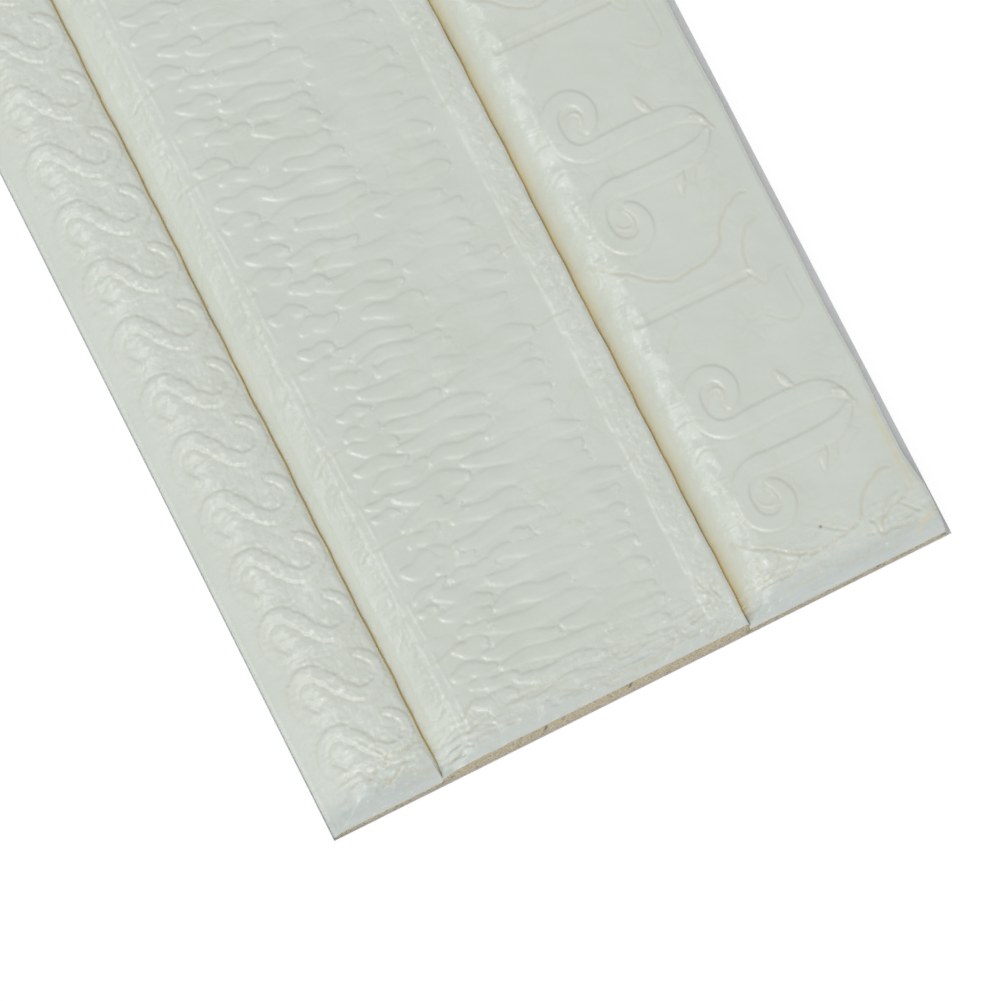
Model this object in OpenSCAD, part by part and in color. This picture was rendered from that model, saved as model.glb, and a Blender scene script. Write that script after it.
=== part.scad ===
// Self-adhesive foam skirting trim: one pressed foam strip on its peel-off backing sheet.
// X runs along the strip, Y across it, Z up from the face that goes to the wall.
// The origin is the middle of the underside.

/* [Strip] */
// Length of the strip
length = 2300; // [300:50:3000]
// Width of the backing sheet, edge to edge
width = 80; // [72:1:110]
// Thickness over the crowns of the bands, backing sheet included
thickness = 6.2; // [5.6:0.1:10]

/* [Bands] */
// Width of the narrow border band, from the foam edge to its groove
narrow_band = 14.1; // [12:0.1:20]
// Width of the broad border band, from the foam edge to its groove
broad_band = 25.3; // [18:0.1:30]
// Rise of each band's crown over its shoulders
crown_rise = 0.3; // [0.1:0.05:0.6]
// Radius of the rounded shoulders
shoulder_r = 1.4; // [0.6:0.1:2]
// Radius of the broad band's wide shoulder, along its groove
broad_shoulder_r = 3.2; // [1:0.1:4]

/* [Grooves] */
// Foam left under a groove
groove_floor = 1; // [0.6:0.1:2]
// Width of the rounded groove bottom
groove_bottom = 0.8; // [0.4:0.1:1]
// Lean from upright of the middle band's wall in the narrow band's groove, in degrees
middle_lean = 32; // [15:1:40]
// Lean of the broad band's wall in its groove, in degrees
broad_lean = 20; // [10:1:30]
// Lean of the two groove walls that face the broad band's side, in degrees
back_lean = 16; // [8:1:25]

/* [Middle field] */
// Depth of the sunken field on the middle band
field_depth = 0.4; // [0.2:0.05:0.8]
// Rim beside the field on the narrow band's side
narrow_side_rim = 3.4; // [3:0.1:6]
// Rim beside the field on the broad band's side
broad_side_rim = 4.4; // [3.5:0.1:8]
// Radius of the bead that frames the field
bead_r = 0.45; // [0.3:0.05:0.7]
// Height of the bead over the crown
bead_rise = 0.15; // [0.05:0.05:0.25]

/* [Edges] */
// Width of the welded lip outside each border band
lip_w = 0.5; // [0.2:0.1:1.5]
// Height of the welded lip
lip_h = 0.7; // [0.3:0.1:0.9]
// Lean of the outer side of the narrow band, in degrees
narrow_edge_lean = 36; // [15:1:40]
// Lean of the outer side of the broad band, in degrees
broad_edge_lean = 12; // [5:1:30]
// Backing sheet left showing along the broad band
sheet_show = 1; // [0.5:0.1:3]

/* [Ends] */
// Length of the pressed run-out at each end
end_run = 5.2; // [4.8:0.1:10]
// Foam left at the end faces of the two border bands
border_end_h = 1.2; // [1:0.1:2]
// Foam left at the end faces of the middle band
middle_end_h = 4; // [1.5:0.1:4.8]

/* [Backing sheet] */
// Thickness of the peel-off backing sheet
sheet_t = 0.2; // [0.1:0.05:0.4]

/* [Hidden] */
$fn = 96;
cut = 1;

foam_h = thickness - sheet_t;
foam_from = -width / 2;
foam_to = width / 2 - sheet_show;
narrow_groove = foam_from + narrow_band;
broad_groove = foam_to - broad_band;
narrow_from = foam_from + lip_w;
narrow_to = narrow_groove - groove_bottom / 2;
middle_from = narrow_groove + groove_bottom / 2;
middle_to = broad_groove - groove_bottom / 2;
broad_from = broad_groove + groove_bottom / 2;
broad_to = foam_to - lip_w;

function unit(v) = v / norm(v);

// Radius of the circle through both shoulders of a band and its crown
function crown_r(span) = (pow(span / 2, 2) + pow(crown_rise, 2)) / (2 * crown_rise);

// Centre of the shoulder of radius r that touches a leaning wall and the crown circle around k.
// side is 1 for the wall at the lower y and -1 for the other one.
function shoulder(foot, lean, r, side, k, big_r) =
    let (up = [side * sin(lean), cos(lean)],
         start = foot + r * [side * cos(lean), -sin(lean)] - k,
         b = up * start,
         c = start * start - pow(big_r - r, 2))
    k + start + up * (sqrt(b * b - c) - b);

// Section of one crowned band, in Y and Z, standing on the web. r_from is its first shoulder's.
module band_section(from, to, lean_from, lean_to, r_from = shoulder_r) {
    big_r = crown_r(to - from);
    k = [(from + to) / 2, foam_h - big_r];
    foot_a = [from, groove_floor];
    foot_b = [to, groove_floor];
    a = shoulder(foot_a, lean_from, r_from, 1, k, big_r);
    b = shoulder(foot_b, lean_to, shoulder_r, -1, k, big_r);
    touch_a = a + r_from * [-cos(lean_from), sin(lean_from)];
    touch_b = b + shoulder_r * [cos(lean_to), sin(lean_to)];
    polygon([foot_a, touch_a, a, b, touch_b, foot_b]);
    intersection() {
        translate(foot_a) square([to - from, foam_h]);
        union() {
            translate(a) circle(r_from);
            translate(b) circle(shoulder_r);
        }
    }
    intersection() {
        translate(k) circle(big_r, $fn = 720);
        polygon([a, a + 2 * r_from * unit(a - k), b + 2 * shoulder_r * unit(b - k), b]);
    }
}

// Lays a Y-Z section along the strip, from end to end
module along_strip() {
    rotate([90, 0, 90])
        translate([0, 0, -length / 2])
            linear_extrude(length)
                children();
}

// What the press takes off one end of a band: all that lies outside a quarter round
module run_out(from, to, end_h) {
    drop = foam_h - end_h;
    r = (end_run * end_run + drop * drop) / (2 * drop);
    translate([length / 2 - end_run, to, foam_h - r])
        rotate([90, 0, 0])
            linear_extrude(to - from)
                difference() {
                    square([end_run + cut, r + cut]);
                    circle(r, $fn = 180);
                }
}

// One band along the strip, pressed down to end_h at both ends
module pressed(from, to, end_h) {
    difference() {
        along_strip() children();
        run_out(from - cut, to + cut, end_h);
        mirror([1, 0, 0]) run_out(from - cut, to + cut, end_h);
    }
}

// The foam that joins the bands: under the grooves, and thinner in the lips
module web_section() {
    difference() {
        union() {
            translate([foam_from, 0]) square([foam_to - foam_from, lip_h]);
            translate([foam_from + lip_w, 0])
                square([foam_to - foam_from - 2 * lip_w, groove_floor]);
        }
        for (y = [narrow_groove, broad_groove])
            translate([y, groove_floor]) circle(d = groove_bottom);
    }
}

// What the sunken field takes out of the middle band, between its two rims
module field_section() {
    from = middle_from + narrow_side_rim;
    to = middle_to - broad_side_rim;
    k = [(middle_from + middle_to) / 2, foam_h - crown_r(middle_to - middle_from)];
    difference() {
        translate([from, groove_floor]) square([to - from, foam_h]);
        translate(k) circle(foam_h - field_depth - k[1], $fn = 720);
    }
}

// The bead along one edge of the field, sunk in the crown
module bead_section(y) {
    r = crown_r(middle_to - middle_from);
    off = y - (middle_from + middle_to) / 2;
    translate([y, foam_h - r + sqrt(r * r - off * off) - bead_r + bead_rise]) circle(bead_r);
}

module middle_section() {
    difference() {
        band_section(middle_from, middle_to, middle_lean, back_lean);
        field_section();
    }
    bead_section(middle_from + narrow_side_rim);
    bead_section(middle_to - broad_side_rim);
}

module foam_trim() {
    color("#cbd1c9")
        translate([0, 0, sheet_t]) {
            along_strip() web_section();
            pressed(narrow_from, narrow_to, border_end_h)
                band_section(narrow_from, narrow_to, narrow_edge_lean, back_lean);
            pressed(middle_from, middle_to, middle_end_h)
                middle_section();
            pressed(broad_from, broad_to, border_end_h)
                band_section(broad_from, broad_to, broad_lean, broad_edge_lean, broad_shoulder_r);
        }
}

module backing_sheet() {
    color("#b4b6be")
        translate([-length / 2, -width / 2, 0])
            cube([length, width, sheet_t]);
}

foam_trim();
backing_sheet();
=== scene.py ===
"""Foam skirting trim: the embossed film skin, the cut ends and the backing sheet over the CAD frame."""
import bpy
import numpy as np
from mathutils import Matrix, Vector


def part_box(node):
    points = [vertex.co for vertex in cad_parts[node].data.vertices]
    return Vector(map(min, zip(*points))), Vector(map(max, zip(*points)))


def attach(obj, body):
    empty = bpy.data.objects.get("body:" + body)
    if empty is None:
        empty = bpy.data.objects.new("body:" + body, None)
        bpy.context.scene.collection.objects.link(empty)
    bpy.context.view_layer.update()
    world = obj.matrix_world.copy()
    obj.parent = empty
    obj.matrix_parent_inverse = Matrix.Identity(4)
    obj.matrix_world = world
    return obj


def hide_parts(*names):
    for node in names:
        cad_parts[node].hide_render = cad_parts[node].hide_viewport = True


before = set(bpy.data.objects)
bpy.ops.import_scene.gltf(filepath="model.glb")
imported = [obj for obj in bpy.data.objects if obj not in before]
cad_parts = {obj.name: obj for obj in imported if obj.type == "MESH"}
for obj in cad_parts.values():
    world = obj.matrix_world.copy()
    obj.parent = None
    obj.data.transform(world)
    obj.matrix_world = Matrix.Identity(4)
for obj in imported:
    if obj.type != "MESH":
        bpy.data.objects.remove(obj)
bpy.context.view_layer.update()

MM = 0.001
SHEET_LOW, SHEET_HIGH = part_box("backing_sheet")
LENGTH = (SHEET_HIGH[0] - SHEET_LOW[0]) / MM
HALF_WIDTH = (SHEET_HIGH[1] - SHEET_LOW[1]) / MM / 2
SHEET_T = (SHEET_HIGH[2] - SHEET_LOW[2]) / MM
TAU = 2 * np.pi

# Camera, as solved from the photograph. d is millimetres from the shown end, y across.
LENS = 198.9
SENSOR = 36.0
VIEW_TILT = np.radians(7.0)     # leaning towards the shown end
VIEW_LEAN = np.radians(14.0)    # leaning towards the narrow band
VIEW_ROLL = np.radians(64.747)
AIM_D, AIM_Y = 26.445, -5.481
CAMERA_AWAY = 623.247
END_SKEW = 0.9                  # the shown end is cut this much shorter at the broad edge

# Section of the strip: y, z and fillet radius of each corner, narrow edge first
FOOT_NARROW = [(-39.9, 0.2, 0), (-39.9, 0.8, 0.2), (-39.4, 0.95, 0.3)]
NARROW_BAND = [(-38.35, 3.1, 1.5), (-36.9, 4.85, 2.0), (-35.0, 5.75, 3.5), (-30.0, 6.05, 14.0),
               (-27.25, 5.75, 0.9)]
GROOVE_ONE = [(-26.42, 2.8, 0.1), (-26.39, 2.4, 0.03), (-26.3, 2.4, 0.03), (-26.25, 2.8, 0.2),
              (-25.1, 3.95, 1.0)]
MIDDLE_BAND = [(-23.7, 4.75, 2.0), (-22.6, 5.45, 1.0), (-20.8, 5.62, 3.0), (-6.0, 5.75, 60.0),
               (8.2, 5.65, 3.0), (9.6, 5.95, 2.0), (12.1, 5.9, 0.9)]
GROOVE_TWO = [(12.97, 2.8, 0.1), (13.0, 2.4, 0.03), (13.1, 2.4, 0.03), (13.15, 2.8, 0.2),
              (14.3, 3.85, 1.0)]
BROAD_BAND = [(15.3, 5.1, 1.8), (17.0, 6.03, 2.6), (25.0, 6.15, 40.0), (32.6, 6.05, 20.0),
              (37.6, 5.55, 0.9)]
FOOT_BROAD = [(38.7, 0.75, 0.2), (39.0, 0.7, 0.15), (39.0, 0.2, 0)]
SECTION = FOOT_NARROW + NARROW_BAND + GROOVE_ONE + MIDDLE_BAND + GROOVE_TWO + BROAD_BAND + FOOT_BROAD
GROOVE_Y = (-26.34, 13.05)

# Ends
PRESS_RUN = 5.2
MIDDLE_END_H, BORDER_END_H = 4.1, 1.25
CROWN_H = 6.1
CUT_FOOT = 0.2                  # the foam's foot behind the sheet's edge
CUT_LEAN = 0.125                # how much the cut face leans back for each millimetre of height
CUT_GRAIN = 0.05                # unevenness of the cut face
CUT_BLEND = 12.0                # over this length the skin follows the cut
PRESS_CLEAR, PRESS_RISE = 0.3, 0.8  # gap over the crown where the press lets go, and its slope past there
FADE = (1.5, 4.5)               # the ornament comes in over this stretch from an end
EDGE_IN, EDGE_OUT = 0.12, 0.75  # how far the broad edge wanders in, and swells out at the shown end
GROOVE_WANDER = 0.06
SHEET_UNDER = 0.01              # the sheet's face lies this much under the foam's foot
SKIN_SPECKS = ((7.25, 24.7),)
CUT_SPECKS = ((0, -2.6), (0, -13.4))
CUT_SPECK_Z, CUT_SPECK_HIGH = 3.0, 0.9

# Mesh
GRID = 0.1
FINE_COLUMNS, COLUMN_STEP = 520, 5
FINE_TO, FINE_ROW = 105.0, 0.185
FINE_TILES, LONG_TILES = 4, 3
LONG_ROW = 1.35
FAR_PRESSED, FAR_ROWS = 6, 16   # the far end's last millimetres have rows of their own
FINE_STEP, LONG_STEP = 0.12, 0.5    # how far apart the skin is felt for its normals
FINE_BLUR, LONG_BLUR = 0.08, 0.5

rng = np.random.default_rng(2300)


def smooth(lo, hi, x):
    t = np.clip((x - lo) / (hi - lo), 0, 1)
    return t * t * (3 - 2 * t)


def between(rise, fall, x):
    """1 between the stretches rise and fall, 0 outside them."""
    return smooth(*rise, x) * (1 - smooth(*fall, x))


# Section

def filleted(corners):
    """The corner list as a dense polyline, each corner rounded by a curve of about its radius."""
    pts = [np.array(corners[0][:2])]
    for before, (y, z, radius), after in zip(corners, corners[1:], corners[2:]):
        p = np.array([y, z])
        to_a, to_b = np.array(before[:2]) - p, np.array(after[:2]) - p
        len_a, len_b = np.linalg.norm(to_a), np.linalg.norm(to_b)
        to_a, to_b = to_a / len_a, to_b / len_b
        half = np.arccos(np.clip(to_a @ to_b, -1, 1)) / 2
        cut = min(radius / np.tan(half), 0.48 * len_a, 0.48 * len_b)
        start, end = p + to_a * cut, p + to_b * cut
        for t in np.linspace(0, 1, 24):
            pts.append((1 - t) ** 2 * start + 2 * t * (1 - t) * p + t * t * end)
    pts.append(np.array(corners[-1][:2]))
    return np.array(pts)


def arc_table(corners, count):
    """count + 1 places along the section, evenly spread: y, z and outward normal."""
    pts = filleted(corners)
    run = np.concatenate([[0], np.cumsum(np.linalg.norm(np.diff(pts, axis=0), axis=1))])
    keep = np.concatenate([[True], np.diff(run) > 1e-9])
    pts, run = pts[keep], run[keep]
    s = np.linspace(0, run[-1], count + 1)
    y, z = np.interp(s, run, pts[:, 0]), np.interp(s, run, pts[:, 1])
    dy, dz = np.gradient(y, s), np.gradient(z, s)
    size = np.hypot(dy, dz)
    return s, y, z, -dz / size, dy / size


ARC, ARC_Y, ARC_Z, ARC_NY, ARC_NZ = arc_table(SECTION, FINE_COLUMNS * 4)
COLUMNS = np.linspace(0, ARC[-1], FINE_COLUMNS + 1)


# Relief maps

def spline(points, step=0.12):
    """A smooth path through points of any width of tuple, with a place every step millimetres."""
    p = np.array(points, float)
    ends = np.vstack([2 * p[0] - p[1], p, 2 * p[-1] - p[-2]])
    out = []
    for a, b, c, e in zip(ends, ends[1:], ends[2:], ends[3:]):
        n = max(2, int(np.linalg.norm((c - b)[:2]) / step))
        t = np.linspace(0, 1, n, endpoint=False)[:, None]
        out.append(0.5 * (2 * b + (c - a) * t + (2 * a - 5 * b + 4 * c - e) * t ** 2
                          + (3 * b - a - 3 * c + e) * t ** 3))
    return np.vstack(out + [p[-1:]])


class Relief:
    """Heights over a stretch of the strip that repeats every period, and a colour share: painted shade along
    its creases, and the glue's real stain in the stain map.
    """

    def __init__(self, period, y_from, y_to):
        self.period, self.y_from, self.y_to = period, y_from, y_to
        self.nx = int(round(period / GRID))
        self.ny = int(round((y_to - y_from) / GRID))
        self.h = np.zeros((self.nx, self.ny))
        self.shade_and_stain = np.zeros((self.nx, self.ny))

    def across(self):
        """The y of each of the map's places across the strip."""
        return np.arange(self.ny) * GRID + self.y_from

    def around(self, d, y, size):
        """The part of the map within size of a place, and its distances from there."""
        i = np.arange(int((d - size) / GRID), int((d + size) / GRID) + 1)
        j = np.arange(max(0, int((y - size - self.y_from) / GRID)),
                      min(self.ny, int((y + size - self.y_from) / GRID) + 1))
        away = np.hypot((i * GRID - d)[:, None], (j * GRID + self.y_from - y)[None, :])
        return np.ix_(i % self.nx, j), away

    def outline(self, paths, reach=1.6):
        """Distance outside the strokes' edges, negative inside. Paths hold d, y, half-width."""
        field = np.full((self.nx, self.ny), reach)
        for path in paths:
            for d, y, half in path:
                at, away = self.around(d, y, half + reach)
                field[at] = np.minimum(field[at], away - half)
        return field

    def raised(self, field, height, edge=0.4, crease=0.03, crease_w=0.18, shade_and_stain=0.3):
        """Lifts what lies inside the outline, with a crease in the film along its foot and painted shade in
        the crease.
        """
        self.h += height * np.sin(np.clip(-field / edge, 0, 1) * np.pi / 2)
        line = np.exp(-((field - 0.05) / crease_w) ** 2)
        self.h -= crease * line
        self.shade_and_stain = np.maximum(self.shade_and_stain, shade_and_stain * line)

    def creased(self, paths, depth=0.05, half=0.13, shade_and_stain=0.6):
        """Folds of the film along paths of d and y: a sunk line between two low lips, with painted shade in
        the line.
        """
        lines = [spline([(d, y, 0) for d, y in path]) for path in paths]
        for line in lines:
            line[:, 0] += 0.08 * np.sin(1.9 * line[:, 1] + line[0, 0]) + 0.03 * np.sin(5.3 * line[:, 1])
        away = self.outline(lines)
        line = np.exp(-(away / half) ** 2)
        self.h += 0.6 * depth * np.exp(-((away - 2.4 * half) / (1.3 * half)) ** 2) - depth * line
        self.shade_and_stain = np.maximum(self.shade_and_stain, shade_and_stain * line)

    def pillows(self, lobes):
        """Stuffed lobes side by side: each is its upper tip, its foot and a half-width."""
        top = np.zeros((self.nx, self.ny))
        for d0, y0, d1, y1, half in lobes:
            half = half * LOBE_FILL
            y0, y1 = y0 + 0.2 * half, y1 - 0.6 * half
            n = max(2, int(np.hypot(d1 - d0, y1 - y0) / 0.15))
            t = np.linspace(0, 1, n)
            wave = 0.28 * half * np.sin(1.4 * TAU * t + d0)
            taper = half * (0.25 + 0.75 * np.sin(np.pi * t) ** 0.45)
            for d, y, w in zip(d0 + (d1 - d0) * t + wave, y0 + (y1 - y0) * t, taper):
                at, away = self.around(d, y, w)
                top[at] = np.maximum(top[at], 1 - np.clip(away / w, 0, 1) ** LOBE_SQUARE)
        return top

    def spots(self, places, size):
        """Round soft spots, 1 in their middles."""
        out = np.zeros((self.nx, self.ny))
        for d, y in places:
            at, away = self.around(d, y, 3 * size)
            out[at] = np.maximum(out[at], np.exp(-(away / size) ** 2))
        return out

    def blurred(self, grid, size):
        """The grid with all detail finer than about size smoothed away."""
        pad = int(4 * size / GRID) + 1
        wide = np.pad(grid, ((0, 0), (pad, pad)), mode="edge")
        fx = np.fft.fftfreq(wide.shape[0], GRID)[:, None]
        fy = np.fft.fftfreq(wide.shape[1], GRID)[None, :]
        pass_low = np.exp(-2 * (np.pi * size) ** 2 * (fx ** 2 + fy ** 2))
        return np.real(np.fft.ifft2(np.fft.fft2(wide) * pass_low))[:, pad:-pad]

    def settle(self):
        """Rounds the map off as the film does: finely for the shown part, coarsely for the run."""
        self.coarse = self.blurred(self.h, LONG_BLUR)
        self.h = self.blurred(self.h, FINE_BLUR)
        self.shade_and_stain = self.blurred(self.shade_and_stain, FINE_BLUR)
        return self

    def noise(self, wave_d, wave_y, seed):
        """Even random ground that repeats with the map, of about these wavelengths, size 1."""
        white = np.random.default_rng(seed).standard_normal((self.nx, self.ny))
        fx = np.fft.fftfreq(self.nx, GRID)[:, None] * wave_d
        fy = np.fft.fftfreq(self.ny, GRID)[None, :] * wave_y
        ring = np.exp(-((np.hypot(fx, fy) - 1) / 0.45) ** 2)
        out = np.real(np.fft.ifft2(np.fft.fft2(white) * ring))
        return out / out.std()

    def streaks(self, wave_d, long, seed):
        """Random ridges side by side that run across the strip, about so long, size 1."""
        white = np.random.default_rng(seed).standard_normal((self.nx, self.ny))
        fx = np.abs(np.fft.fftfreq(self.nx, GRID))[:, None] * wave_d
        fy = np.fft.fftfreq(self.ny, GRID)[None, :] * long
        out = np.real(np.fft.ifft2(np.fft.fft2(white) * np.exp(-((fx - 1) / 0.45) ** 2 - fy ** 2)))
        return out / out.std()

    def sample(self, grid, d, y):
        """Bilinear value of one of the map's grids at d and y."""
        u, v = d / GRID, (y - self.y_from) / GRID
        i, j = np.floor(u).astype(int), np.floor(v).astype(int)
        fu, fv = u - i, v - j
        inside = (v >= 0) & (v < self.ny - 1)
        j = np.clip(j, 0, self.ny - 2)
        i0, i1 = i % self.nx, (i + 1) % self.nx
        low = grid[i0, j] * (1 - fu) + grid[i1, j] * fu
        high = grid[i0, j + 1] * (1 - fu) + grid[i1, j + 1] * fu
        return np.where(inside, low * (1 - fv) + high * fv, 0)


def placed(points, d, mirror=1):
    """A motif's points (u, y, half-width) around its axis at d, as places on the strip."""
    return [(d - mirror * u, y, half) for u, y, half in points]


# Narrow band. A motif's points are u, from its axis towards the shown end, y and half-width; a fold's
# points have no half-width.

NARROW_PITCH = 7.33
NARROW_AT = 15.19
NARROW_SCROLL = [(-2.06, -29.4, 0.55), (-1.24, -28.4, 0.6), (0.29, -27.9, 0.65), (1.7, -28.55, 0.72),
                 (2.31, -29.95, 0.8), (2.0, -31.45, 0.85), (0.7, -32.75, 0.9), (-0.77, -33.7, 0.88),
                 (-2.03, -34.8, 0.85), (-2.36, -35.85, 0.8), (-2.04, -36.8, 0.72), (-1.2, -37.5, 0.6),
                 (0.1, -37.8, 0.55), (1.27, -37.5, 0.58), (2.24, -36.9, 0.72)]
NARROW_PEARLS = [(0.28, -30.45, 0.75), (-0.35, -35.6, 0.8)]
NARROW_FOLDS = [[(3.5, -27.6), (3.3, -29.0), (3.6, -30.2)],
                [(-2.9, -34.2), (-2.0, -33.6), (-0.9, -33.2)]]
SCROLL_HEIGHT, PEARL_HEIGHT = 0.15, 0.06


def narrow_relief():
    relief = Relief(NARROW_PITCH, -40.0, -26.0)
    scroll = relief.outline([spline(placed(NARROW_SCROLL, NARROW_AT))])
    relief.raised(scroll, SCROLL_HEIGHT, edge=0.3, shade_and_stain=0.3)
    relief.h += 0.02 * relief.noise(0.65, 0.65, 8) * np.exp(-(scroll / 0.5) ** 2)
    for pearl in NARROW_PEARLS:
        round_spot = relief.outline([placed([pearl], NARROW_AT)])
        relief.raised(round_spot, PEARL_HEIGHT, edge=0.5, crease=0.01, shade_and_stain=0.1)
    folds = [[(NARROW_AT - u, y) for u, y in fold] for fold in NARROW_FOLDS]
    relief.creased(folds, 0.03, shade_and_stain=0.2)
    relief.h += 0.015 * relief.noise(0.8, 0.8, 16) + 0.02 * relief.noise(1.9, 1.9, 19)
    # Puckers at the pearls, where glints are also painted.
    relief.slack = 0.6 * relief.spots([(d, y) for d, y, _ in placed(NARROW_PEARLS, NARROW_AT)], 0.45)
    return relief.settle()


# Broad band

BROAD_PERIOD = 35.35
BROAD_AT = 19.42
CURL = [(0.64, 34.4, 0.5), (1.75, 33.25, 0.9), (2.43, 31.6, 1.2), (2.62, 29.4, 1.24), (2.68, 26.3, 1.24),
        (2.58, 23.1, 1.22), (2.46, 21.1, 1.16), (3.0, 19.4, 1.1), (4.28, 18.3, 1.08), (6.18, 17.95, 1.08),
        (8.0, 18.4, 1.05), (9.09, 19.6, 1.02), (9.27, 21.1, 1.0), (8.54, 22.4, 0.98), (7.13, 22.9, 0.95),
        (5.72, 22.5, 0.85), (4.93, 21.8, 0.6)]
INNER_CURL = [(5.14, 21.1, 0.2), (5.94, 21.5, 0.25), (6.84, 21.65, 0.28), (7.4, 21.0, 0.25),
              (7.07, 20.0, 0.2), (6.37, 19.5, 0.15)]
GLINTS = [(4.9, 28.8), (6.3, 21.5), (4.9, 20.6), (1.0, 34.6)]
BUDS = [[(3.9, 29.5, 0.2), (4.8, 28.85, 0.55), (6.23, 28.35, 0.2)],
        [(4.2, 30.9, 0.15), (5.3, 30.2, 0.3)]]
TIP = [(1.5, 33.4, 0.3), (1.0, 34.4, 0.35), (-0.5, 35.0, 0.3), (-0.7, 35.4, 0.2)]
TWIGS = [[(2.4, 33.0), (3.7, 34.3)], [(3.7, 34.2), (4.3, 33.1), (5.6, 31.6)]]
FAR_TWIGS = [[(3.0, 34.5), (3.8, 32.6), (4.6, 30.9)], [(4.3, 29.6), (5.2, 29.0)]]
LONG_FOLD = [(9.1, 35.2), (8.8, 34.1), (9.3, 33.0), (10.1, 31.8), (11.3, 30.5), (12.8, 29.8),
             (13.8, 28.8), (14.3, 27.1), (14.6, 25.5), (14.75, 23.9), (14.85, 22.5), (14.3, 21.3),
             (13.1, 19.5), (12.1, 18.3), (11.1, 16.8), (10.0, 15.6), (9.2, 14.7)]
CUP = [(16.0, 35.0), (13.5, 35.1), (11.5, 35.0), (10.9, 33.5), (11.3, 32.0), (12.5, 30.8)]
HOOK = [(17.0, 20.9), (16.1, 21.0), (15.4, 19.8), (13.4, 18.2)]
STEM_U = 17.67
STEM = [(STEM_U, 30.9, 0.5), (STEM_U, 25.8, 0.55), (STEM_U, 19.8, 0.55), (STEM_U, 16.6, 0.5)]
STEM_TOP_Y = 31.2
LONG_BRANCH = [(17.0, 31.3), (14.9, 31.7), (12.8, 33.2), (12.0, 34.8)]
SHORT_BRANCH = [(17.6, 30.9), (16.0, 32.3), (16.9, 33.5), (17.2, 35.0)]
SHOULDER_FOLDS = [[(2.6, 17.4), (2.9, 16.2), (2.2, 15.0)], [(-1.2, 18.2), (-1.6, 16.6), (-0.9, 15.2)],
                  [(-4.6, 18.2), (-5.6, 16.4), (-5.2, 15.2)], [(6.6, 16.6), (6.1, 15.4)]]
CURL_HEIGHT, BUD_HEIGHT, FAINT_BUD_HEIGHT, STEM_DEPTH = 0.14, 0.12, 0.07, 0.12


def broad_relief():
    relief = Relief(BROAD_PERIOD, 14.0, 39.0)

    def near(motif):
        return placed(motif, BROAD_AT)

    def far(motif):
        return placed(motif, BROAD_AT, -1)

    def folds(*motifs, side=1):
        return [[(BROAD_AT - side * u, y) for u, y in m] for m in motifs]

    both = [spline(near(CURL)), spline(far(CURL))]
    relief.raised(relief.outline(both), CURL_HEIGHT, edge=0.28, shade_and_stain=0.22)
    relief.raised(relief.outline([spline(far(TIP))]), BUD_HEIGHT, edge=0.25)
    inner = [spline(side(m)) for side in (near, far) for m in [INNER_CURL, BUDS[0]]]
    relief.raised(relief.outline(inner), BUD_HEIGHT, edge=0.28, crease=0.03)
    relief.raised(relief.outline([spline(near(BUDS[1]))]), FAINT_BUD_HEIGHT, edge=0.3, crease=0.02)
    stems = relief.outline([spline(near(STEM)), spline(far(STEM))])
    relief.raised(stems, -STEM_DEPTH, edge=0.28, crease=-0.03)
    relief.creased(folds(LONG_FOLD), 0.07, 0.16, 0.8)
    relief.creased(folds(LONG_BRANCH), 0.06, 0.16, 0.6)
    relief.creased(folds(SHORT_BRANCH, CUP, HOOK, side=-1), 0.045, 0.15, 0.3)
    relief.creased(folds(*TWIGS), 0.03, 0.14, 0.15)
    relief.creased(folds(*FAR_TWIGS, side=-1), 0.03, 0.14, 0.2)
    relief.creased(folds(*SHOULDER_FOLDS), 0.04, 0.16, 0.15)
    # Puckers at the glints' places, which are also painted as pale flecks.
    relief.slack = relief.spots([(BROAD_AT - side * u, y) for side in (1, -1) for u, y in GLINTS]
                                + [(BROAD_AT + STEM_U, STEM_TOP_Y)], 0.5)
    y = relief.across()
    shoulder = between((14.4, 15.6), (16.6, 18.6), y)
    ragged = smooth(-0.8, 0.8, relief.noise(5.0, 3.0, 20)) * relief.streaks(0.6, 2.0, 12)
    relief.h += (0.011 * ragged + 0.045 * relief.noise(3.6, 1.8, 14)) * shoulder
    return relief.settle()


# Middle band

LOBE_PERIOD = 138.0
LOBE_PITCH = 2.35
LOBE_ROWS = ((-17.3, 4.6, 0.8), (-9.5, 8.5, 0.92), (1.0, 7.5, 0.92))   # middle, length, half-width
LOBE_LEAN = 0.1
LOBE_HEIGHT = 0.17
LOBE_FILL = 1.22
LOBE_SQUARE = 4.5               # how flat a lobe's top is
STRAND_HEIGHT = 0.03
FIELD_FROM, FIELD_TO = -21.4, 8.2

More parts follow.
